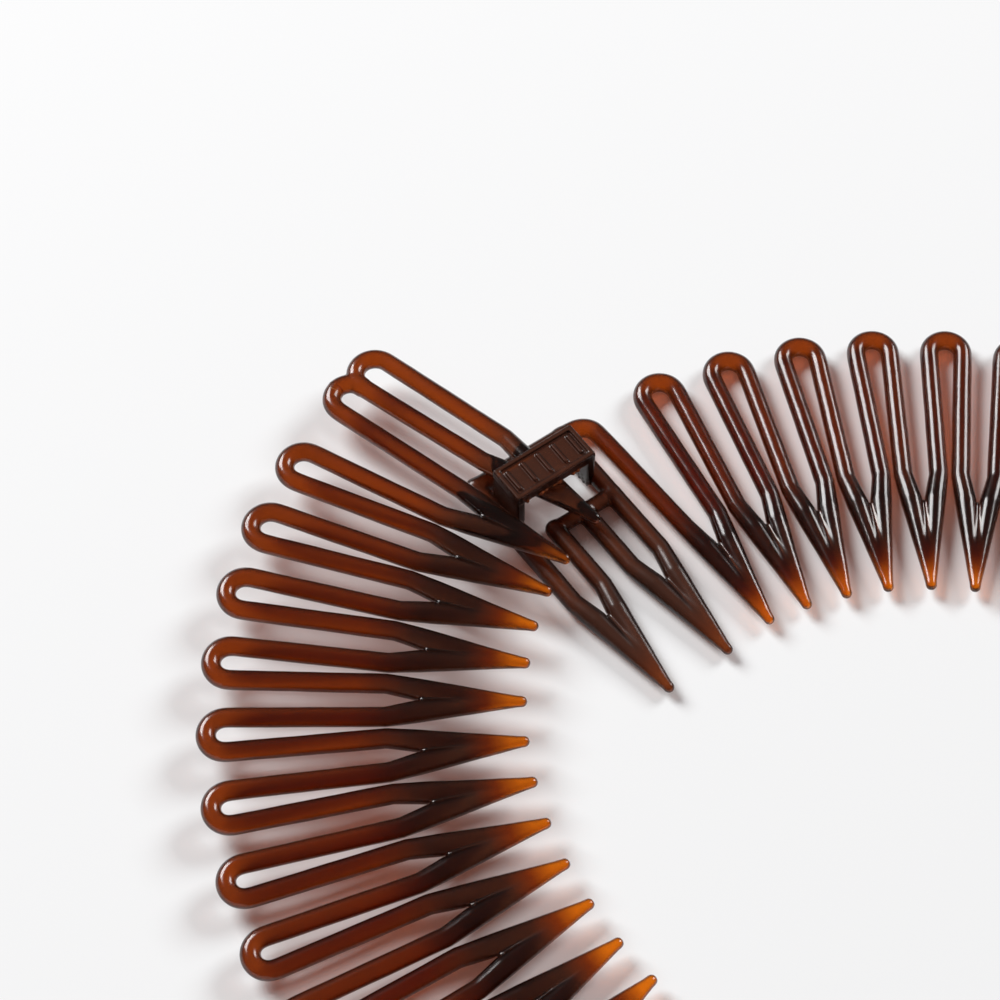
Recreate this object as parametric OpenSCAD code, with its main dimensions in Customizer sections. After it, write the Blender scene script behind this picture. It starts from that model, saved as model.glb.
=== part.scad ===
// Stretch comb headband: a zigzag ring of hairpin links whose paired legs merge into pointed
// comb teeth. One end of the strip is a frame with a bridge, the other a hook tooth that
// slides under the bridge. The ring lies flat, teeth inward, hairpin loops outward.
// Millimetres, +Z up, origin at the centre of the ring on the table.

/* [Ring] */
// distance between neighbouring shoulders along the band
link_pitch = 5.815; // [5:0.005:7]
// links between the clasp frame and the hook
link_count = 49; // [49:1:49]
// mean angle between neighbouring teeth, degrees
fan_mean = 6.861; // [6.5:0.001:7.2]
// first swing of that angle round the ring, cosine part
fan_c1 = -0.285; // [-1:0.005:1]
// first swing of that angle round the ring, sine part
fan_s1 = 0.975; // [-1.5:0.005:1.5]
// second swing of that angle round the ring, cosine part
fan_c2 = 0.849; // [-1.5:0.005:1.5]
// second swing of that angle round the ring, sine part
fan_s2 = -0.956; // [-1.5:0.005:1.5]
// first link's shoulder centre, X
first_x = -20.58; // [-25:0.01:-15]
// first link's shoulder centre, Y
first_y = 37.22; // [30:0.01:45]
// outward direction of the first link, degrees from +X
first_angle = 118.22; // [110:0.01:125]
// wire centre height of the links that lie on the table
base_z = 1.17; // [1.17:0.01:2]
// how far the last links climb so that the hook lies over the frame
rise = 2.2; // [2.1:0.05:3]
// link at which the climb starts
rise_start = 34; // [20:1:44]

/* [Link] */
// radius of the moulded legs
leg_r = 1.0; // [0.7:0.05:1.1]
// leg centre to tooth centre at the shoulder
shoulder_y = 1.8; // [1.5:0.01:1.85]
// leg centre to tooth centre at the hairpin bend
splay_y = 2.05; // [1.9:0.01:2.2]
// shoulder to the start of the hairpin bend
bend_x = 15.4; // [13:0.1:18]
// shoulder to the crotch where the two legs meet
crotch_x = 3; // [2:0.1:5]
// leg centre to tooth centre at the crotch
crotch_y = 1.2; // [1:0.05:1.4]
// radius of each half of the tooth at the crotch
crotch_r = 1.15; // [1:0.05:1.15]
// shoulder to the tooth tip
tooth_len = 13.5; // [10:0.1:16]
// radius of the blunt tooth tip
tip_r = 0.55; // [0.4:0.05:0.8]
// radius of each half where it sinks into the tooth's core
ridge_r = 0.45; // [0.3:0.05:0.5]
// tooth tip to that place
ridge_back = 1.1; // [0.8:0.1:2]
// radius of the tooth's core at its root
web_r = 0.95; // [0.8:0.05:1.1]
// parting gap where one moving piece ends and the next begins
seam_gap = 0.12; // [0.1:0.01:0.2]

/* [Clasp frame] */
// shoulder centre of the frame's first tooth, X
clasp_x = -25.93; // [-30:0.01:-20]
// shoulder centre of the frame's first tooth, Y
clasp_y = 33.27; // [30:0.01:40]
// outward direction of the frame, degrees from +X
clasp_angle = 125.8; // [120:0.1:130]
// wire centre height of the frame
frame_z = 0.96; // [0.9:0.01:0.98]
// radius of the frame's bars, flattened underneath
bar_r = 1.08; // [1.05:0.01:1.15]
// first frame tooth to the frame's local zero line
tooth_p_y = 0.4; // [0:0.1:0.8]
// second frame tooth to the frame's local zero line
tooth_o_y = 7.6; // [7:0.1:8]
// shoulder line to the outer bar
outer_bar_x = 16.6; // [15:0.1:18]
// shoulder line to the crossbar that carries the hook's tip
crossbar_x = 8; // [6:0.1:9]
// radius of the crossbar
crossbar_r = 0.85; // [0.6:0.05:1]
// outer bar's far corner, toward the first link
corner_y = -4.5; // [-5:0.1:-4]
// radius of that corner
corner_r = 1.8; // [1.5:0.1:2.2]

/* [Clasp bridge] */
// bridge's inner edge, from the shoulder line
bridge_x0 = 10.4; // [9:0.1:11]
// bridge length along the hook
bridge_len = 4.3; // [3:0.1:5]
// bridge's edge beside the first frame tooth
bridge_y0 = -0.9; // [-1.5:0.05:0]
// bridge's edge beside the second frame tooth
bridge_y1 = 8.65; // [8:0.05:9]
// underside of the bridge
bridge_z = 4.65; // [4.6:0.05:5.5]
// thickness of the bridge plate
plate_t = 1.15; // [0.8:0.05:1.5]
// thickness of the bridge's side posts
post_t = 0.9; // [0.6:0.05:1.2]
// lowest point of the posts
post_z = 0.5; // [0.2:0.1:1.5]
// width of each grip rib on the plate
rib_w = 0.45; // [0.3:0.05:0.6]
// height of each grip rib
rib_h = 0.25; // [0.15:0.05:0.4]
// number of grip ribs
rib_count = 5; // [3:1:7]
// clear margin round the ribs
rib_margin = 0.8; // [0.5:0.05:1.5]

/* [Hook end] */
// shoulder centre of the hook tooth, X
hook_x = -41.38; // [-45:0.01:-38]
// shoulder centre of the hook tooth, Y
hook_y = 44.31; // [40:0.01:48]
// outward direction of the hook tooth, degrees from +X
hook_angle = 141; // [138:0.1:144]
// wire radius of the bend toward the last link, slimmer so that it merges into the middle leg
hook_wire_r = 0.93; // [0.9:0.01:0.96]
// outer end of the hook's shared middle leg
hook_mid_y = 2.5; // [2.2:0.05:2.8]
// outer end of the hook's last leg
hook_last_y = -1.5; // [-1.8:0.05:-1.2]
// outer end of the last link's leg beside the hook
hook_far_y = 6.3; // [6:0.05:6.6]

/* [Hidden] */
$fn = 48;
resin = [0.25, 0.09, 0.04];
first_bend = 32;
last_bend = 39;
cover = 0.02;
joint_r = leg_r + cover;
ridge_y = 0.1;
core_start = 0.5;
post_clear = 0.02;
hook_z = base_z + rise;
frame_top = 40;
quarter = 90;
overlap = 7;
half = 180;
turn = 360;

function swing(k) = turn * (k - 0.5) / link_count;
function fan(k) = fan_mean + fan_c1 * cos(swing(k)) + fan_s1 * sin(swing(k))
    + fan_c2 * cos(2 * swing(k)) + fan_s2 * sin(2 * swing(k));
function ang(k) = k <= 1 ? first_angle : ang(k - 1) - fan(k - 1);
function mid_ang(k) = ang(k) - fan(k) / 2;
function px(k) = k <= 1 ? first_x : px(k - 1) + link_pitch * sin(mid_ang(k - 1));
function py(k) = k <= 1 ? first_y : py(k - 1) - link_pitch * cos(mid_ang(k - 1));
function climb(k) = min(1, max(0, (k - rise_start) / (link_count - rise_start)));
function pz(k) = base_z + rise * climb(k) * climb(k) * (3 - 2 * climb(k));
function bend_r(k) = link_pitch / 2 + bend_x * tan(fan(k) / 2) - splay_y;
// outer end of a leg in its link's own axes, in the hairpin of angle f and bend radius r
function end_x(f, r) = -link_pitch / 2 * sin(f / 2) + bend_x * cos(f / 2) + r * sin(f / 2);
function end_y(f, r) = link_pitch / 2 * cos(f / 2) + bend_x * sin(f / 2) - r * cos(f / 2);
// a point in one piece's axes, seen in another's
function world_x(x, y, ox, a) = ox + x * cos(a) - y * sin(a);
function world_y(x, y, oy, a) = oy + x * sin(a) + y * cos(a);
function local_x(gx, gy, ox, oy, a) = (gx - ox) * cos(a) + (gy - oy) * sin(a);
function local_y(gx, gy, ox, oy, a) = (gy - oy) * cos(a) - (gx - ox) * sin(a);
function dist(x0, y0, x1, y1) = sqrt(pow(x1 - x0, 2) + pow(y1 - y0, 2));

// a round bar between two points at one height, stopping short of the second by cut
module bar(x0, y0, x1, y1, r0, r1, cut = 0) {
    translate([x0, y0, 0])
        rotate([0, quarter, atan2(y1 - y0, x1 - x0)])
            cylinder(h = dist(x0, y0, x1, y1) - cut, r1 = r0, r2 = r1);
}

// a round joint, its axis along X like the bars that meet in it
module ball(x, y, r) {
    translate([x, y, 0]) rotate([0, quarter, 0]) sphere(r = r);
}

// part of a ring of wire in the XY plane, centred on (x, y)
module wire_arc(x, y, r, wire, start, sweep) {
    translate([x, y, 0])
        rotate([0, 0, start])
            rotate_extrude(angle = sweep)
                translate([r, 0]) circle(r = wire);
}

// pointed tooth, its crotch and both shoulders, with the shoulder line at x = 0
module tooth() {
    for (side = [-1, 1]) {
        ball(0, side * shoulder_y, joint_r);
        bar(0, side * shoulder_y, -crotch_x, side * crotch_y, leg_r, crotch_r);
        ball(-crotch_x, side * crotch_y, crotch_r + cover);
        bar(-crotch_x, side * crotch_y, ridge_back - tooth_len, side * ridge_y, crotch_r, ridge_r);
    }
    bar(-crotch_x - core_start, 0, tip_r - tooth_len, 0, web_r, tip_r);
    ball(tip_r - tooth_len, 0, tip_r + cover);
}

// closed end of a hairpin, opening toward -X, in the hairpin's own axes
module loop_end(r) {
    wire_arc(bend_x, 0, r, leg_r, -quarter, half);
}

// places the hairpin after link k in that link's axes (side -1) or the next link's (side 1)
module hairpin_axes(f, side) {
    translate([-link_pitch / 2 * sin(f / 2), side * link_pitch / 2 * cos(f / 2), 0])
        rotate([0, 0, side * f / 2])
            children();
}

module link_axes(k) {
    translate([px(k), py(k), pz(k)]) rotate([0, 0, ang(k)]) children();
}

// leg toward the previous link, with the bend that closes it
module near_leg(k) {
    f = fan(k - 1);
    r = bend_r(k - 1);
    free = k - 1 >= first_bend && k - 1 <= last_bend;
    bar(0, shoulder_y, end_x(f, r), end_y(f, r), leg_r, leg_r, free ? seam_gap : 0);
    if (!free) {
        ball(end_x(f, r), end_y(f, r), joint_r);
        hairpin_axes(f, 1) loop_end(r);
    }
}

// leg toward the next link, ending just short of that link's bend
module far_leg(k) {
    f = fan(k);
    r = bend_r(k);
    bar(0, -shoulder_y, end_x(f, r), -end_y(f, r), leg_r, leg_r, seam_gap);
}

// the first link's near leg ends under the clasp frame's corner
module first_leg() {
    gx = world_x(outer_bar_x - corner_r, corner_y, clasp_x, clasp_angle);
    gy = world_y(outer_bar_x - corner_r, corner_y, clasp_y, clasp_angle);
    lx = local_x(gx, gy, px(1), py(1), ang(1));
    ly = local_y(gx, gy, px(1), py(1), ang(1));
    bar(0, shoulder_y, lx, ly, leg_r, leg_r, seam_gap);
}

// the last link's far leg ends under the hook's lower bend
module last_leg() {
    gx = world_x(bend_x, hook_far_y, hook_x, hook_angle);
    gy = world_y(bend_x, hook_far_y, hook_y, hook_angle);
    k = link_count;
    lx = local_x(gx, gy, px(k), py(k), ang(k));
    ly = local_y(gx, gy, px(k), py(k), ang(k));
    bar(0, -shoulder_y, lx, ly, leg_r, leg_r, seam_gap);
}

module comb_link(k) {
    link_axes(k) {
        tooth();
        if (k == 1) first_leg();
        else near_leg(k);
        if (k == link_count) last_leg();
        else far_leg(k);
    }
}

// a hairpin bend that moves apart from both of its legs
module free_bend(k) {
    link_axes(k)
        hairpin_axes(fan(k), -1)
            loop_end(bend_r(k));
}

module clasp_axes(z) {
    translate([clasp_x, clasp_y, z]) rotate([0, 0, clasp_angle]) children();
}

module clasp_bars() {
    py_a = tooth_p_y - shoulder_y;
    py_b = tooth_p_y + shoulder_y;
    oy_a = tooth_o_y - shoulder_y;
    oy_b = tooth_o_y + shoulder_y;
    translate([0, tooth_p_y, 0]) tooth();
    translate([0, tooth_o_y, 0]) tooth();
    bar(0, py_a, outer_bar_x, py_a, leg_r, leg_r);
    bar(0, py_b, crossbar_x, py_b, leg_r, leg_r);
    bar(0, oy_a, crossbar_x, oy_a, leg_r, leg_r);
    bar(0, oy_b, outer_bar_x, oy_b, leg_r, bar_r);
    ball(crossbar_x, py_b, joint_r);
    ball(crossbar_x, oy_a, joint_r);
    bar(crossbar_x, py_a, crossbar_x, oy_a, crossbar_r, crossbar_r);
    ball(outer_bar_x, oy_b, bar_r + cover);
    bar(outer_bar_x, oy_b, outer_bar_x, corner_y + corner_r, bar_r, leg_r);
    ball(outer_bar_x, corner_y + corner_r, joint_r);
    wire_arc(outer_bar_x - corner_r, corner_y + corner_r, corner_r, leg_r, -quarter, quarter);
}

module clasp_frame() {
    color(resin)
        difference() {
            clasp_axes(frame_z) clasp_bars();
            translate([clasp_x, clasp_y, -frame_top / 2])
                cube([2 * frame_top, 2 * frame_top, frame_top], center = true);
        }
}

module bridge_block() {
    width = bridge_y1 - bridge_y0;
    translate([bridge_x0, bridge_y0, bridge_z]) cube([bridge_len, width, plate_t]);
    translate([bridge_x0, bridge_y0, post_z]) cube([bridge_len, post_t, bridge_z - post_z]);
    translate([bridge_x0, bridge_y1 - post_t, post_z])
        cube([bridge_len, post_t, bridge_z - post_z]);
}

module grip_ribs() {
    span = bridge_y1 - bridge_y0 - 2 * rib_margin - rib_w;
    for (i = [0 : rib_count - 1])
        translate([bridge_x0 + rib_margin, bridge_y0 + rib_margin + i * span / (rib_count - 1),
                   bridge_z + plate_t])
            cube([bridge_len - 2 * rib_margin, rib_w, rib_h]);
}

module clasp_bridge() {
    py_a = tooth_p_y - shoulder_y;
    oy_b = tooth_o_y + shoulder_y;
    color(resin)
        difference() {
            clasp_axes(0) {
                bridge_block();
                grip_ribs();
            }
            clasp_axes(frame_z) {
                bar(0, py_a, outer_bar_x, py_a, leg_r + post_clear, leg_r + post_clear);
                bar(0, oy_b, outer_bar_x, oy_b, leg_r + post_clear, bar_r + post_clear);
            }
        }
}

module hook_end() {
    color(resin)
        translate([hook_x, hook_y, hook_z])
            rotate([0, 0, hook_angle]) {
                tooth();
                bar(0, shoulder_y, bend_x, hook_mid_y, leg_r, leg_r);
                bar(0, -shoulder_y, bend_x, hook_last_y, leg_r, leg_r);
                ball(bend_x, hook_mid_y, joint_r);
                ball(bend_x, hook_last_y, joint_r);
                wire_arc(bend_x, (hook_mid_y + hook_last_y) / 2,
                         (hook_mid_y - hook_last_y) / 2, leg_r, -quarter, half);
                wire_arc(bend_x, (hook_far_y + hook_mid_y) / 2, (hook_far_y - hook_mid_y) / 2,
                         hook_wire_r, -quarter - overlap, half + overlap);
            }
}

module comb_link_01() {
    color(resin) comb_link(1);
}

module comb_link_02() {
    color(resin) comb_link(2);
}

module comb_link_03() {
    color(resin) comb_link(3);
}

module comb_link_04() {
    color(resin) comb_link(4);
}

module comb_link_05() {
    color(resin) comb_link(5);
}

module comb_link_06() {
    color(resin) comb_link(6);
}

module comb_link_07() {
    color(resin) comb_link(7);
}

module comb_link_08() {
    color(resin) comb_link(8);
}

module comb_link_09() {
    color(resin) comb_link(9);
}

module comb_link_10() {
    color(resin) comb_link(10);
}

module comb_link_11() {
    color(resin) comb_link(11);
}

module comb_link_12() {
    color(resin) comb_link(12);
}

module comb_link_13() {
    color(resin) comb_link(13);
}

module comb_link_14() {
    color(resin) comb_link(14);
}

module comb_link_15() {
    color(resin) comb_link(15);
}

module comb_link_16() {
    color(resin) comb_link(16);
}

module comb_link_17() {
    color(resin) comb_link(17);
}

module comb_link_18() {
    color(resin) comb_link(18);
}

module comb_link_19() {
    color(resin) comb_link(19);
}

module comb_link_20() {
    color(resin) comb_link(20);
}

module comb_link_21() {
    color(resin) comb_link(21);
}

module comb_link_22() {
    color(resin) comb_link(22);
}

module comb_link_23() {
    color(resin) comb_link(23);
}

module comb_link_24() {
    color(resin) comb_link(24);
}

module comb_link_25() {
    color(resin) comb_link(25);
}

module comb_link_26() {
    color(resin) comb_link(26);
}

module comb_link_27() {
    color(resin) comb_link(27);
}

module comb_link_28() {
    color(resin) comb_link(28);
}

module comb_link_29() {
    color(resin) comb_link(29);
}

module comb_link_30() {
    color(resin) comb_link(30);
}

module comb_link_31() {
    color(resin) comb_link(31);
}

module comb_link_32() {
    color(resin) comb_link(32);
}

module comb_link_33() {
    color(resin) comb_link(33);
}

module comb_link_34() {
    color(resin) comb_link(34);
}

module comb_link_35() {
    color(resin) comb_link(35);
}

module comb_link_36() {
    color(resin) comb_link(36);
}

module comb_link_37() {
    color(resin) comb_link(37);
}

module comb_link_38() {
    color(resin) comb_link(38);
}

module comb_link_39() {
    color(resin) comb_link(39);
}

module comb_link_40() {
    color(resin) comb_link(40);
}

module comb_link_41() {
    color(resin) comb_link(41);
}

module comb_link_42() {
    color(resin) comb_link(42);
}

module comb_link_43() {
    color(resin) comb_link(43);
}

module comb_link_44() {
    color(resin) comb_link(44);
}

module comb_link_45() {
    color(resin) comb_link(45);
}

module comb_link_46() {
    color(resin) comb_link(46);
}

module comb_link_47() {
    color(resin) comb_link(47);
}

module comb_link_48() {
    color(resin) comb_link(48);
}

module comb_link_49() {
    color(resin) comb_link(49);
}

module hairpin_bend_32() {
    color(resin) free_bend(32);
}

module hairpin_bend_33() {
    color(resin) free_bend(33);
}

module hairpin_bend_34() {
    color(resin) free_bend(34);
}

module hairpin_bend_35() {
    color(resin) free_bend(35);
}

module hairpin_bend_36() {
    color(resin) free_bend(36);
}

module hairpin_bend_37() {
    color(resin) free_bend(37);
}

module hairpin_bend_38() {
    color(resin) free_bend(38);
}

module hairpin_bend_39() {
    color(resin) free_bend(39);
}

clasp_frame();
clasp_bridge();
comb_link_01();
comb_link_02();
comb_link_03();
comb_link_04();
comb_link_05();
comb_link_06();
comb_link_07();
comb_link_08();
comb_link_09();
comb_link_10();
comb_link_11();
comb_link_12();
comb_link_13();
comb_link_14();
comb_link_15();
comb_link_16();
comb_link_17();
comb_link_18();
comb_link_19();
comb_link_20();
comb_link_21();
comb_link_22();
comb_link_23();
comb_link_24();
comb_link_25();
comb_link_26();
comb_link_27();
comb_link_28();
comb_link_29();
comb_link_30();
comb_link_31();
comb_link_32();
comb_link_33();
comb_link_34();
comb_link_35();
comb_link_36();
comb_link_37();
comb_link_38();
comb_link_39();
comb_link_40();
comb_link_41();
comb_link_42();
comb_link_43();
comb_link_44();
comb_link_45();
comb_link_46();
comb_link_47();
comb_link_48();
comb_link_49();
hairpin_bend_32();
hairpin_bend_33();
hairpin_bend_34();
hairpin_bend_35();
hairpin_bend_36();
hairpin_bend_37();
hairpin_bend_38();
hairpin_bend_39();
hook_end();
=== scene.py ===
import math

import bmesh
import bpy
import numpy as np
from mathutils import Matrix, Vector


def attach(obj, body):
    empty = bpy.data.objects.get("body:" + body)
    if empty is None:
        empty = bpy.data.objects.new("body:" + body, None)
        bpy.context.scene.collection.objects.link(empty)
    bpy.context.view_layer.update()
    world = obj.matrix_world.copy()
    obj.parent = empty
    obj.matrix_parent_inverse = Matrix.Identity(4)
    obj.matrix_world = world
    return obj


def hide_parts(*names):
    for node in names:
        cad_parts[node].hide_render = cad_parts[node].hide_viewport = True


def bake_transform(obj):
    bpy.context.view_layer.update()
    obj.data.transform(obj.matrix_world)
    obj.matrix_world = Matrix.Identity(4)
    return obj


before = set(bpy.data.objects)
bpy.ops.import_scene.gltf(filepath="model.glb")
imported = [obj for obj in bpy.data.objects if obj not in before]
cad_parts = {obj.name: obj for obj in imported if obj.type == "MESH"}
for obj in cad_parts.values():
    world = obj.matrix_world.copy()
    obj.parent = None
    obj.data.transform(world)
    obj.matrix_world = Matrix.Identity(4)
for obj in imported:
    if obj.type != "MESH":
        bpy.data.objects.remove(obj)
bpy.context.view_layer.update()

# ---------------------------------------------------------------- the ring, in millimetres
MM = 0.001
CENTRE = (0.0787, 0.0052)  # the row frame's origin in the ring's own axes
LINKS = 49
PITCH = 5.815
FAN = (6.861, -0.285, 0.975, 0.849, -0.956)
FIRST = (-20.58, 37.22, 118.22)
BASE_Z, RISE, RISE_START = 1.17, 2.2, 34
SHOULDER_Y, SPLAY_Y, BEND_X = 1.8, 2.05, 15.4
WIRE = 1.0
CROTCH = (-3.0, 1.2)
TOOTH = 13.5
TIP_R = 0.55
CLASP = (-25.93, 33.27, 125.8)
FRAME_Z, BAR_R, CROSS_R = 0.96, 1.08, 0.85
TOOTH_P, TOOTH_O = 0.4, 7.6
OUTER_X, CROSS_X = 16.6, 8.0
CORNER_Y, CORNER_R = -4.5, 1.8
HOOK = (-41.38, 44.31, 141.0)
HOOK_Z = BASE_Z + RISE
HOOK_MID, HOOK_LAST, HOOK_FAR = 2.5, -1.5, 6.3
FREE = range(32, 40)  # hairpins that open when the clasp does
SKIN = 0.03  # the visible surface lies this far inside the CAD's
NECK_R = 1.12  # where elbow and ridge of a tooth meet
CORE_X, CORE_R = -8.6, 0.78  # where a tooth's core starts to taper
LEAVE_Y = -2.45  # where the outer bar of the clasp becomes the first bend
GRID, FRAME_GRID, BRIDGE_GRID = 0.22, 0.2, 0.12  # cell size of the surface nets
CUT_REACH, HOOK_REACH = 1.45, 4.3  # how far from its line a cut trims
WIRE_AMBER = 0.35
STUB = 1.2  # length of straight leg that belongs to a bend's mesh


def sind(a):
    return math.sin(math.radians(a))


def cosd(a):
    return math.cos(math.radians(a))


def fan(k):
    """Angle between teeth k and k + 1, in degrees."""
    p = 360 * (k - 0.5) / LINKS
    mean, c1, s1, c2, s2 = FAN
    return mean + c1 * cosd(p) + s1 * sind(p) + c2 * cosd(2 * p) + s2 * sind(2 * p)


def climb(k):
    c = min(1.0, max(0.0, (k - RISE_START) / (LINKS - RISE_START)))
    return BASE_Z + RISE * c * c * (3 - 2 * c)


class Axes:
    """A flat local frame: origin, and the outward direction in degrees."""

    def __init__(self, x, y, z, angle):
        self.o, self.angle = np.array([x, y, z], float), angle
        c, s = cosd(angle), sind(angle)
        self.m = np.array([[c, s, 0], [-s, c, 0], [0, 0, 1.0]])  # rows: x, y, z axes

    def out(self, p):
        """Local millimetres to the ring's millimetres."""
        return np.atleast_2d(np.asarray(p, float)) @ self.m + self.o

    def local(self, p):
        return (np.atleast_2d(np.asarray(p, float)) - self.o) @ self.m.T

    def point(self, x, y, z=0.0):
        return self.out([[x, y, z]])[0]


def chain():
    axes, (x, y, a) = {}, FIRST
    for k in range(1, LINKS + 1):
        axes[k] = Axes(x, y, climb(k), a)
        mid = a - fan(k) / 2
        x, y, a = x + PITCH * sind(mid), y - PITCH * cosd(mid), a - fan(k)
    return axes


LINK = chain()
FRAME = Axes(CLASP[0], CLASP[1], FRAME_Z, CLASP[2])
END = Axes(HOOK[0], HOOK[1], HOOK_Z, HOOK[2])


def bend_r(k):
    return PITCH / 2 + BEND_X * math.tan(math.radians(fan(k) / 2)) - SPLAY_Y


def hairpin(k):
    """Axes of the hairpin between links k and k + 1: x outward, y towards link k."""
    a, b = LINK[k], LINK[k + 1]
    mid = (a.o + b.o) / 2
    return Axes(mid[0], mid[1], mid[2], a.angle - fan(k) / 2)


def leg_end(k, side):
    """Where link k's leg meets its bend, in the link's axes. side 1 is towards link k - 1."""
    if side > 0:
        if k == 1:
            return LINK[1].local(FRAME.point(OUTER_X - CORNER_R, CORNER_Y))[0][:2]
        pin, y = hairpin(k - 1), -bend_r(k - 1)
    else:
        if k == LINKS:
            return LINK[k].local(END.point(BEND_X, HOOK_FAR))[0][:2]
        pin, y = hairpin(k), bend_r(k)
    return LINK[k].local(pin.point(BEND_X, y))[0][:2]


# ---------------------------------------------------------------- distance fields
def ripple(p):
    """Slight unevenness of moulded plastic, in millimetres, at points of the ring."""
    x, y, z = p[:, 0], p[:, 1], p[:, 2]
    return 0.006 * (
        np.sin(0.9 * x + 0.4 * y + 1.1 * z)
        + np.sin(-0.5 * x + 1.1 * y - 0.9 * z + 1.7)
        + 0.5 * np.sin(2.1 * x - 1.8 * y + 2.0 * z + 0.4)
    )


def rod(p, a, b, ra, rb):
    """Distance to a round bar from a to b whose radius goes from ra to rb."""
    a, b = np.array(a, float), np.array(b, float)
    ab = b - a
    h = np.clip((p - a) @ ab / (ab @ ab), 0, 1)
    return np.linalg.norm(p - a - h[:, None] * ab, axis=1) - (ra + h * (rb - ra))


def bend(p, x, y, radius, wire):
    """Distance to half a ring of wire round (x, y), open towards -x."""
    q = p - np.array([x, y, 0.0])
    ring = np.hypot(np.hypot(q[:, 0], q[:, 1]) - radius, q[:, 2])
    ends = np.hypot(np.hypot(q[:, 0], np.abs(q[:, 1]) - radius), q[:, 2])
    return np.where(q[:, 0] > 0, ring, ends) - wire


def block(p, lo, hi, round_r):
    """Distance to a box with rounded edges."""
    lo, hi = np.array(lo, float), np.array(hi, float)
    q = np.abs(p - (lo + hi) / 2) - (hi - lo) / 2 + round_r
    return np.linalg.norm(np.maximum(q, 0), axis=1) + np.minimum(q.max(axis=1), 0) - round_r


def melt(a, b, k):
    """The union of two fields with a fillet of about k."""
    h = np.maximum(k - np.abs(a - b), 0) / k
    return np.minimum(a, b) - h * h * k / 4


def tooth(p, y=0.0):
    """A comb tooth with its two elbows. Its shoulder line is at x = 0."""
    p = p - np.array([0, y, 0.0])
    halves = []
    for side in (-1, 1):
        elbow = rod(p, (0, side * SHOULDER_Y, 0), (CROTCH[0], side * CROTCH[1], 0), WIRE, NECK_R)
        ridge = rod(p, (CROTCH[0], side * CROTCH[1], 0), (TIP_R - TOOTH, 0, 0), NECK_R,
                    TIP_R - 0.02)
        halves.append(np.minimum(elbow, ridge))
    sides = melt(halves[0], halves[1], 0.16)
    root = rod(p, (-3.6, 0, 0), (CORE_X, 0, 0), 0.48, CORE_R)
    core = rod(p, (CORE_X, 0, 0), (TIP_R - TOOTH, 0, 0), CORE_R, 0.3)
    return melt(sides, np.minimum(root, core), 0.2)


# ---------------------------------------------------------------- meshes
def surface_net(field, lo, hi, step):
    """Quads on the zero surface of field inside a box, with every vertex on the surface."""
    axis = [np.arange(lo[i], hi[i] + step, step) for i in range(3)]
    n = [len(a) for a in axis]
    pts = np.stack(np.meshgrid(*axis, indexing="ij"), -1).reshape(-1, 3)
    g = field(pts).reshape(n)
    inside = g < 0
    cells = [m - 1 for m in n]
    count, total, where = np.zeros(cells), np.zeros(cells), np.zeros(cells + [3])
    for corner in np.ndindex(2, 2, 2):
        s = tuple(slice(c, c + m) for c, m in zip(corner, cells))
        count += inside[s]
    mixed = (count > 0) & (count < 8)
    for ax in range(3):
        others = [i for i in range(3) if i != ax]
        for u, v in np.ndindex(2, 2):
            c0 = [0, 0, 0]
            c0[others[0]], c0[others[1]] = u, v
            c1 = list(c0)
            c1[ax] = 1
            s0 = tuple(slice(c, c + m) for c, m in zip(c0, cells))
            s1 = tuple(slice(c, c + m) for c, m in zip(c1, cells))
            cross = inside[s0] != inside[s1]
            t = np.where(cross, g[s0] / np.where(cross, g[s0] - g[s1], 1), 0)
            total += cross
            for i in range(3):
                where[..., i] += np.where(cross, c0[i] + (t if i == ax else 0), 0)
    index = -np.ones(cells, int)
    index[mixed] = np.arange(mixed.sum())
    base = np.argwhere(mixed)
    verts = (base + where[mixed] / total[mixed][:, None]) * step + np.array(lo, float)
    quads = []
    for ax in range(3):
        b, c = (ax + 1) % 3, (ax + 2) % 3
        s0, s1 = [slice(None)] * 3, [slice(None)] * 3
        s0[ax], s1[ax] = slice(0, -1), slice(1, None)
        cross = inside[tuple(s0)] != inside[tuple(s1)]
        at = np.argwhere(cross)
        at = at[(at[:, b] > 0) & (at[:, c] > 0) & (at[:, b] < n[b] - 1) & (at[:, c] < n[c] - 1)]
        ring = []
        for db, dc in ((1, 1), (0, 1), (0, 0), (1, 0)):
            cell = at.copy()
            cell[:, b] -= db
            cell[:, c] -= dc
            ring.append(index[tuple(cell.T)])
        q = np.stack(ring, 1)
        flip = ~inside[tuple(at.T)]
        q[flip] = q[flip][:, ::-1]
        quads.append(q)
    for _ in range(4):
        d, grad = field(verts), gradient(field, verts)
        verts -= np.clip(d, -step, step)[:, None] * grad / (grad * grad).sum(1)[:, None].clip(0.2)
    return verts, np.concatenate(quads)


def gradient(field, p, h=0.004):
    out = np.empty_like(p)
    for i in range(3):
        e = np.zeros(3)
        e[i] = h
        out[:, i] = (field(p + e) - field(p - e)) / (2 * h)
    return out


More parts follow.
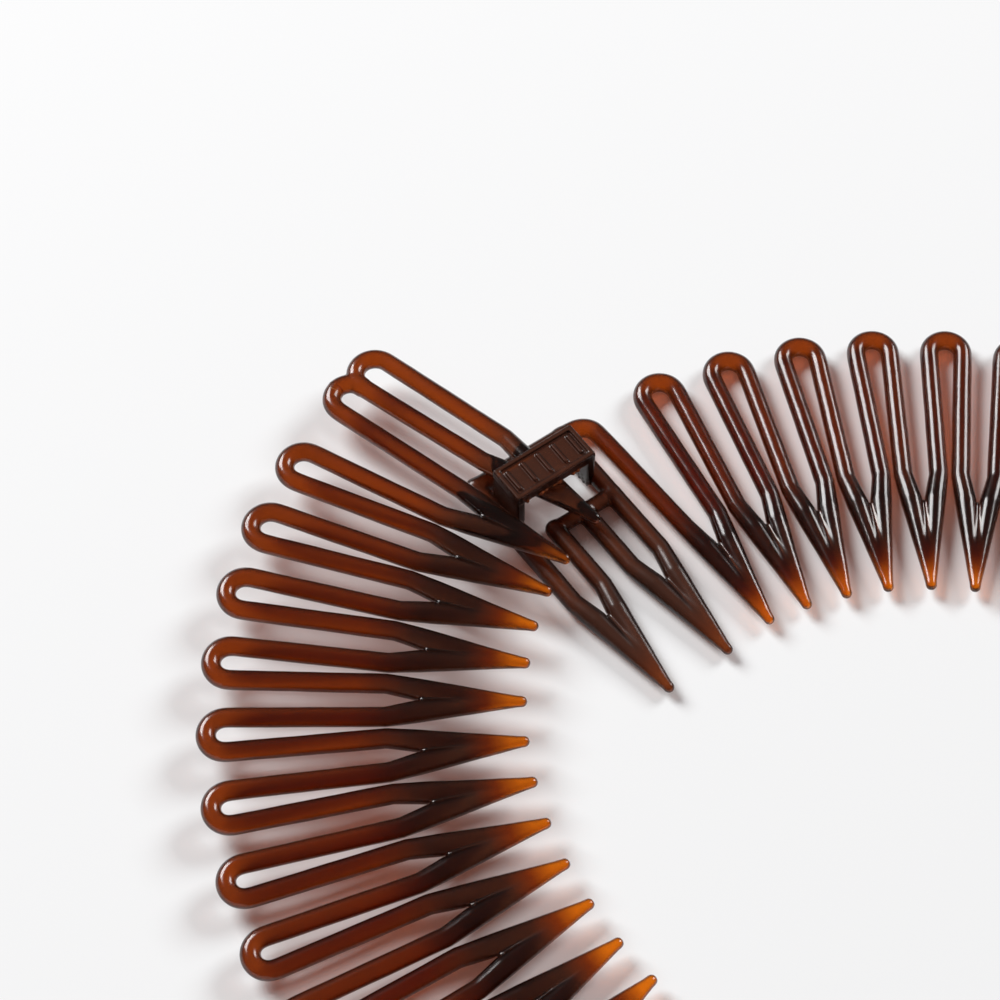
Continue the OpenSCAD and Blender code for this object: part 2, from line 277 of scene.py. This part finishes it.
def make(name, verts, faces, material, cuts=(), amber=None):
    """A smooth mesh object from ring millimetres. Each cut is (point, normal, reach): what lies
    past the point along the normal, no further than reach from that line, is trimmed off."""
    mesh = bpy.data.meshes.new(name)
    local = (verts - np.array([CENTRE[0], CENTRE[1], 0])) * MM
    mesh.from_pydata(local.tolist(), [], faces.tolist())
    if cuts:
        bm = bmesh.new()
        bm.from_mesh(mesh)
        for point, normal, reach in cuts:
            p0, way = Vector(row(point)), Vector(normal)
            chosen = []  # in the mesh's order, so that each run trims alike
            for v in bm.verts:
                along = (v.co - p0).dot(way)
                if along > -0.7 * MM and (v.co - p0 - way * along).length < reach * MM:
                    chosen.append(v)
            near = set(chosen)
            edges = [e for e in bm.edges if e.verts[0] in near and e.verts[1] in near]
            sides = [f for f in bm.faces if all(v in near for v in f.verts)]
            bmesh.ops.bisect_plane(
                bm, geom=chosen + edges + sides, plane_co=p0,
                plane_no=way, clear_outer=True, dist=1e-8,
            )
        bm.to_mesh(mesh)
        bm.free()
    mesh.polygons.foreach_set("use_smooth", [True] * len(mesh.polygons))
    if amber is not None:
        co = np.empty(len(mesh.vertices) * 3)
        mesh.vertices.foreach_get("co", co)
        ring = co.reshape(-1, 3) / MM + np.array([CENTRE[0], CENTRE[1], 0])
        layer = mesh.attributes.new("amber", "FLOAT", "POINT")
        layer.data.foreach_set("value", amber(ring).astype(np.float32))
    mesh.materials.append(material)
    obj = bpy.data.objects.new(name, mesh)
    bpy.context.scene.collection.objects.link(obj)
    return obj


def even_path(points, step=0.12, soften=0.3, straight=0.8):
    """points made even in spacing, with corners softened away from the two ends."""
    p = np.asarray(points, float)
    for _ in range(2):
        run = np.concatenate([[0], np.cumsum(np.linalg.norm(np.diff(p, axis=0), axis=1))])
        s = np.linspace(0, run[-1], max(8, int(run[-1] / step)))
        p = np.stack([np.interp(s, run, p[:, i]) for i in range(3)], 1)
        gap = s[1]
        half = max(1, int(3 * soften / gap))
        w = np.exp(-0.5 * (np.arange(-half, half + 1) * gap / soften) ** 2)
        w /= w.sum()
        head = p[0] - (p[1] - p[0]) * np.arange(half, 0, -1)[:, None]
        tail = p[-1] + (p[-1] - p[-2]) * np.arange(1, half + 1)[:, None]
        long = np.concatenate([head, p, tail])
        p = np.stack([np.convolve(long[:, i], w, "valid") for i in range(3)], 1)
    return p


def sweep(path, wire=WIRE, sides=36):
    """Vertices and quads of a round wire along path."""
    tangent = np.gradient(path, axis=0)
    tangent /= np.linalg.norm(tangent, axis=1)[:, None]
    across = np.cross(tangent, [0, 0, 1.0])
    across /= np.linalg.norm(across, axis=1)[:, None]
    up = np.cross(across, tangent)
    a = np.linspace(0, 2 * math.pi, sides, endpoint=False)
    ring = across[:, None] * np.cos(a)[None, :, None] + up[:, None] * np.sin(a)[None, :, None]
    verts = path[:, None] + ring * (wire - SKIN)
    bumpy = verts + ring * ripple(verts.reshape(-1, 3)).reshape(len(path), sides, 1)
    rows = np.arange(len(path) - 1)[:, None] * sides
    col = np.arange(sides)[None]
    nxt = (col + 1) % sides
    quads = np.stack([rows + col, rows + nxt, rows + sides + nxt, rows + sides + col], -1)
    return bumpy.reshape(-1, 3), quads.reshape(-1, 4)[:, ::-1]


def arc(axes, x, y, radius, start, stop, z0=0.0, z1=0.0, count=40):
    """Points round (x, y) in axes, from one angle to another, rising from z0 to z1."""
    t = np.linspace(0, 1, count)
    a = np.radians(start + (stop - start) * t)
    lift = z0 + (z1 - z0) * t * t * (3 - 2 * t)
    return axes.out(np.stack([x + radius * np.cos(a), y + radius * np.sin(a), lift], 1))


def leg_cut(k, side):
    """Where link k's mesh stops on a leg: the point, in ring millimetres, and the direction."""
    e = leg_end(k, side)
    start = np.array([0, side * SHOULDER_Y])
    way = (e - start) / np.linalg.norm(e - start)
    p = e - way * STUB
    c = LINK[k].m
    return LINK[k].point(*p), way[0] * c[0] + way[1] * c[1]


def row(p):
    return tuple(float(v) for v in (np.asarray(p) - np.array([CENTRE[0], CENTRE[1], 0])) * MM)


# ---------------------------------------------------------------- materials
def nodes_of(mat):
    nt = mat.node_tree
    nt.nodes.clear()

    def add(kind, **values):
        n = nt.nodes.new(kind)
        for key, value in values.items():
            if key.startswith("i_"):
                n.inputs[key[2:].replace("_", " ")].default_value = value
            else:
                setattr(n, key, value)
        return n

    return nt, add


def resin(name, deep, warm, glow, through, clear_share, rough, bump_depth):
    """Translucent glossy plastic: deep where thick, warm in the wire, glow where thin. through
    tints lamp light at each surface, and clear_share is how much of the rest is glass."""
    mat = bpy.data.materials.new(name)
    mat.use_nodes = True
    nt, add = nodes_of(mat)
    link = nt.links.new
    out = add("ShaderNodeOutputMaterial")
    shader = add("ShaderNodeBsdfPrincipled")
    shader.inputs["IOR"].default_value = 1.5
    shader.inputs["Transmission Weight"].default_value = clear_share
    # lamps reach the floor through the plastic, tinted
    path, clear = add("ShaderNodeLightPath"), add("ShaderNodeBsdfTransparent")
    mix = add("ShaderNodeMixShader")
    clear.inputs["Color"].default_value = (*through, 1)
    link(path.outputs["Is Shadow Ray"], mix.inputs[0])
    link(shader.outputs[0], mix.inputs[1])
    link(clear.outputs[0], mix.inputs[2])
    link(mix.outputs[0], out.inputs["Surface"])
    where = add("ShaderNodeTexCoord")
    thin = add("ShaderNodeAttribute", attribute_name="amber")
    cloud = add("ShaderNodeTexNoise", i_Scale=260.0, i_Detail=3.0, i_Roughness=0.55)
    link(where.outputs["Object"], cloud.inputs["Vector"])
    add_cloud = add("ShaderNodeMath", operation="MULTIPLY_ADD")
    link(cloud.outputs["Fac"], add_cloud.inputs[0])
    add_cloud.inputs[1].default_value = 0.16
    link(thin.outputs["Fac"], add_cloud.inputs[2])
    ramp = add("ShaderNodeValToRGB")
    els = ramp.color_ramp.elements
    els[0].position, els[0].color = 0.05, (*deep, 1)
    els[1].position, els[1].color = 1.0, (*glow, 1)
    mid = els.new(0.5)
    mid.color = (*warm, 1)
    link(add_cloud.outputs[0], ramp.inputs[0])
    # painted shade: seen edge on, the glass colour is painted near-black, a dark rim along each
    # wire
    edge = add("ShaderNodeLayerWeight")
    edge.inputs["Blend"].default_value = 0.5
    rim = add("ShaderNodeMapRange", interpolation_type="SMOOTHSTEP")
    rim.inputs["From Min"].default_value, rim.inputs["From Max"].default_value = 0.03, 0.50
    rim.inputs["To Min"].default_value, rim.inputs["To Max"].default_value = 0.0, 0.9
    link(edge.outputs["Facing"], rim.inputs["Value"])
    glass_colour_with_rim_shade = add("ShaderNodeMix", data_type="RGBA")
    link(rim.outputs[0], glass_colour_with_rim_shade.inputs["Factor"])
    link(ramp.outputs[0], glass_colour_with_rim_shade.inputs["A"])
    # near-black colour of the painted rim shade
    glass_colour_with_rim_shade.inputs["B"].default_value = (0.012, 0.005, 0.004, 1)
    link(glass_colour_with_rim_shade.outputs["Result"], shader.inputs["Base Color"])
    shader.inputs["Specular IOR Level"].default_value = 0.24
    # gloss that varies a little, with fine handling marks
    grain = add("ShaderNodeTexNoise", i_Scale=900.0, i_Detail=4.0, i_Roughness=0.6)
    link(where.outputs["Object"], grain.inputs["Vector"])
    span = add("ShaderNodeMapRange")
    span.inputs["To Min"].default_value, span.inputs["To Max"].default_value = rough
    link(grain.outputs["Fac"], span.inputs["Value"])
    link(span.outputs[0], shader.inputs["Roughness"])
    bump = add("ShaderNodeBump", i_Strength=bump_depth, i_Distance=0.00006)
    link(grain.outputs["Fac"], bump.inputs["Height"])
    link(bump.outputs[0], shader.inputs["Normal"])
    return mat


RESIN = resin("resin_brown", (0.090, 0.030, 0.014), (0.32, 0.046, 0.001), (0.86, 0.20, 0.001),
              (0.28, 0.15, 0.12), 0.98, (0.15, 0.21), 0.025)
DARK = resin("resin_clasp_brown", (0.115, 0.042, 0.024), (0.21, 0.046, 0.012),
             (0.42, 0.090, 0.008), (0.20, 0.10, 0.08), 0.6, (0.2, 0.3), 0.06)


def amber_of(axes_list, glow=1.0):
    """Thinness of the plastic at ring points: glow at tooth tips, WIRE_AMBER in the wire and 0
    in the roots. Each of axes_list is a tooth's axes and its y there."""

    def value(p):
        best = np.full(len(p), 0.0)
        for axes, y in axes_list:
            q = axes.local(p) - np.array([0, y, 0])
            x = q[:, 0]
            near = np.abs(q[:, 1]) < 3.0
            tip = glow * np.clip((-7.0 - x) / 5.0, 0, 1) ** 1.3
            wire = WIRE_AMBER * np.clip((x + 2.0) / 5.0, 0, 1)
            best = np.maximum(best, np.where(near, np.maximum(tip, wire), WIRE_AMBER * (x > 2)))
        return best

    return value


def steady(value):
    return lambda p: np.full(len(p), value)


# ---------------------------------------------------------------- the zigzag
def add_link(k):
    axes = LINK[k]
    legs = []
    for side in (1, -1):
        e = leg_end(k, side)
        legs.append((side, np.append(e, 0)))

    def field(p):
        d = tooth(p)
        for side, e in legs:
            d = np.minimum(d, rod(p, (0, side * SHOULDER_Y, 0), e, WIRE, WIRE))
        return d + SKIN - ripple(axes.out(p))

    far = max(e[0] for _, e in legs)
    wide = [min(-3.2, legs[1][1][1] - 1.3), max(3.2, legs[0][1][1] + 1.3)]
    v, f = surface_net(field, (-14.2, wide[0], -1.4), (far + 1.4, wide[1], 1.4), GRID)
    cuts = []
    for side in (1, -1):
        p, n = leg_cut(k, side)
        cuts.append((p, n, CUT_REACH))
    name = "comb_link_%02d" % k
    obj = make("link_mesh_%02d" % k, axes.out(v), f, RESIN, cuts, amber_of([(axes, 0.0)]))
    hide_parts(name)
    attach(obj, "link_%02d" % k)


def blended(name, path, start, end):
    """A round wire along path, as one mesh in ring coordinates; start and end are not used."""
    v, f = sweep(path)
    obj = make(name, v, f, RESIN, (), steady(WIRE_AMBER))
    row(start)
    row(end)
    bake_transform(obj)
    return obj


def add_bend(k):
    pin, r = hairpin(k), bend_r(k)
    z0, z1 = LINK[k].o[2] - pin.o[2], LINK[k + 1].o[2] - pin.o[2]
    first, last = leg_cut(k, -1)[0], leg_cut(k + 1, 1)[0]
    curve = arc(pin, BEND_X, 0, r, 90, -90, z0, z1)
    path = even_path(np.concatenate([[first], curve, [last]]))
    a, b = pin.point(BEND_X, r - WIRE), pin.point(BEND_X, WIRE - r)
    if k not in FREE:
        blended("bend_mesh_%02d" % k, path, a, b)
        return
    half = len(path) // 2
    mid = pin.point(BEND_X, 0)
    one = blended("bend_mesh_%02d_a" % k, path[: half + 1], a, mid)
    blended("bend_mesh_%02d_b" % k, path[half:], mid, b)
    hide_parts("hairpin_bend_%02d" % k)


for k in range(1, LINKS + 1):
    add_link(k)
for k in range(1, LINKS):
    add_bend(k)


# ---------------------------------------------------------------- the clasp frame and hook
def add_frame():
    pa, pb = TOOTH_P - SHOULDER_Y, TOOTH_P + SHOULDER_Y
    oa, ob = TOOTH_O - SHOULDER_Y, TOOTH_O + SHOULDER_Y

    def field(p):
        d = np.minimum(tooth(p, TOOTH_P), tooth(p, TOOTH_O))
        for y, x, r in ((pa, OUTER_X, WIRE), (pb, CROSS_X, WIRE), (oa, CROSS_X, WIRE),
                        (ob, OUTER_X, BAR_R)):
            d = np.minimum(d, rod(p, (0, y, 0), (x, y, 0), WIRE, r))
        d = melt(d, rod(p, (CROSS_X, pa, 0), (CROSS_X, oa, 0), CROSS_R, CROSS_R), 0.3)
        outer = rod(p, (OUTER_X, ob, 0), (OUTER_X, CORNER_Y + CORNER_R - 1, 0), BAR_R, WIRE)
        d = melt(d, outer, 0.35)
        d = d + SKIN - ripple(FRAME.out(p))
        return np.maximum(d, -p[:, 2] - FRAME_Z)

    v, f = surface_net(field, (-14.2, -5.6, -1.0), (OUTER_X + 1.5, ob + 1.5, 1.4),
                       FRAME_GRID)
    cut = (FRAME.point(OUTER_X, LEAVE_Y), -FRAME.m[1], CUT_REACH)
    obj = make("clasp_frame_mesh", FRAME.out(v), f, DARK, [cut],
               amber_of([(FRAME, TOOTH_P), (FRAME, TOOTH_O)], 0.6))
    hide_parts("clasp_frame")
    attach(obj, "clasp")
    corner = arc(FRAME, OUTER_X - CORNER_R, CORNER_Y + CORNER_R, CORNER_R, 0, -90,
                 0, BASE_Z - FRAME_Z)
    ends = [FRAME.point(OUTER_X, LEAVE_Y)], [leg_cut(1, 1)[0]]
    path = even_path(np.concatenate([ends[0], corner, ends[1]]))
    blended("bend_mesh_00", path,
            FRAME.point(OUTER_X, -2.47), FRAME.point(OUTER_X, -4.3))


def add_bridge():
    lo, hi = (10.4, -0.9, 4.65), (14.7, 8.65, 5.8)
    post, foot, top = 0.9, 0.5, 5.72

    def field(q):
        p = q + np.array([0, 0, FRAME_Z])
        d = block(p, lo, (hi[0], hi[1], top), 0.16)
        for y in (lo[1], hi[1] - post):
            d = melt(d, block(p, (lo[0], y, foot), (hi[0], y + post, 5.0), 0.14), 0.12)
        inner = block(p, (lo[0] + 0.5, lo[1] + 0.5, 5), (hi[0] - 0.5, hi[1] - 0.5, 7), 0.2)
        rim = np.maximum(block(p, lo, (hi[0], hi[1], top + 0.24), 0.14), -inner)
        d = melt(d, rim, 0.1)
        span = hi[1] - lo[1] - 2 * 0.8 - 0.45
        for i in range(5):
            y = lo[1] + 0.8 + i * span / 4
            rib = block(p, (lo[0] + 0.85, y, 5.4), (hi[0] - 0.85, y + 0.45, 5.98), 0.12)
            d = melt(d, rib, 0.1)
        ragged = 0.5 + 0.3 * np.sin(3 * p[:, 1]) + 0.2 * np.sin(8 * p[:, 1] + 1.3)
        fin = block(p, (lo[0] - 0.25, 0.1, 4.56), (lo[0] + 0.6, 7.7, 4.74), 0.05)
        d = melt(d, fin + 0.1 * ragged, 0.06)
        low = np.clip((2.2 - p[:, 2]) / 1.5, 0, 1)
        rough = np.sin(9 * p[:, 0] + 4 * p[:, 2]) * np.sin(11 * p[:, 1] - 6 * p[:, 2] + 1)
        return d + 0.07 * low * rough - ripple(FRAME.out(q))

    def warmth(points):
        p = FRAME.local(points) + np.array([0, 0, FRAME_Z])
        under = np.exp(-(((p[:, 0] - lo[0]) / 0.3) ** 2)) * (p[:, 2] < 5.0) * (p[:, 2] > 4.3)
        # a warmer streak along the top, just inside the far rim, past y = 3
        streak = np.exp(-(((p[:, 0] - hi[0] + 0.75) / 0.2) ** 2)) * np.clip((p[:, 1] - 3) / 2, 0, 1)
        return 0.08 + 0.8 * under + 0.5 * streak * (p[:, 2] > 5)

    v, f = surface_net(field, (9.9, -1.4, -0.7), (15.2, 9.2, 5.3), BRIDGE_GRID)
    obj = make("clasp_bridge_mesh", FRAME.out(v), f, DARK, (), warmth)
    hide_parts("clasp_bridge")
    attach(obj, "clasp")


def add_hook():
    r1, r2 = (HOOK_MID - HOOK_LAST) / 2, (HOOK_FAR - HOOK_MID) / 2
    y1, y2 = (HOOK_MID + HOOK_LAST) / 2, (HOOK_FAR + HOOK_MID) / 2

    def field(p):
        d = tooth(p)
        d = np.minimum(d, rod(p, (0, SHOULDER_Y, 0), (BEND_X, HOOK_MID, 0), WIRE, WIRE))
        d = np.minimum(d, rod(p, (0, -SHOULDER_Y, 0), (BEND_X, HOOK_LAST, 0), WIRE, WIRE))
        loops = melt(bend(p, BEND_X, y1, r1, WIRE), bend(p, BEND_X, y2, r2, WIRE), 0.3)
        return np.minimum(d, loops) + SKIN - ripple(END.out(p))

    v, f = surface_net(field, (-14.2, -3.3, -1.4), (BEND_X + 3.6, 7.9, 1.4), GRID)
    cut = (END.point(BEND_X + r2, y2), END.m[1], HOOK_REACH)
    obj = make("hook_mesh", END.out(v), f, RESIN, [cut], amber_of([(END, 0.0)], 0.12))
    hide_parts("hook_end")
    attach(obj, "hook")
    curve = arc(END, BEND_X, y2, r2, 0, 90)
    path = even_path(np.concatenate([curve, [leg_cut(LINKS, -1)[0]]]))
    blended("bend_mesh_%02d" % LINKS, path,
            END.point(BEND_X, y2), END.point(BEND_X, HOOK_FAR - WIRE))


add_frame()
add_bridge()
add_hook()


# ---------------------------------------------------------------- floor, light, camera
def floor():
    mesh = bpy.data.meshes.new("floor")
    s = 1.5
    mesh.from_pydata([(-s, -s, 0), (s, -s, 0), (s, s, 0), (-s, s, 0)], [], [(0, 1, 2, 3)])
    obj = bpy.data.objects.new("floor", mesh)
    bpy.context.scene.collection.objects.link(obj)
    obj.location.z = -0.00002
    mat = bpy.data.materials.new("floor_white")
    mat.use_nodes = True
    nt, add = nodes_of(mat)
    out, shader = add("ShaderNodeOutputMaterial"), add("ShaderNodeBsdfPrincipled")
    shader.inputs["Base Color"].default_value = (0.86, 0.86, 0.865, 1)
    shader.inputs["Roughness"].default_value = 0.75
    shader.inputs["Specular IOR Level"].default_value = 0.2
    nt.links.new(shader.outputs[0], out.inputs["Surface"])
    mesh.materials.append(mat)


def area(name, place, target, size, power, colour=(1, 1, 1)):
    data = bpy.data.lights.new(name, "AREA")
    data.shape, data.size, data.size_y = "RECTANGLE", size[0], size[1]
    data.energy, data.color = power, colour
    obj = bpy.data.objects.new(name, data)
    obj.location = place
    way = Vector(target) - Vector(place)
    obj.rotation_euler = way.to_track_quat("-Z", "Y").to_euler()
    obj.visible_transmission = False  # no sparks of lamp inside the plastic
    bpy.context.scene.collection.objects.link(obj)


def camera():
    data = bpy.data.cameras.new("camera")
    data.sensor_width, data.lens = 36.0, 100.8
    data.clip_start, data.clip_end = 0.01, 20
    obj = bpy.data.objects.new("camera", data)
    obj.location = row((-40.82, -113.76, 237.52))
    obj.rotation_euler = (math.radians(90 - 57), 0, 0)
    bpy.context.scene.collection.objects.link(obj)
    bpy.context.scene.camera = obj


floor()
area("key", (-1.5, 1.29, 1.425), (0, 0.02, 0), (1.2, 1.2), 70.0)
area("side", (1.88, 1.43, 1.58), (0, 0, 0), (1.2, 1.05), 46.0)
world = bpy.data.worlds.new("world")
world.use_nodes = True
world.node_tree.nodes["Background"].inputs[0].default_value = (1.0, 0.99, 0.98, 1)
world.node_tree.nodes["Background"].inputs[1].default_value = 0.09
bpy.context.scene.world = world
bpy.context.scene.view_settings.view_transform = "Standard"
camera()
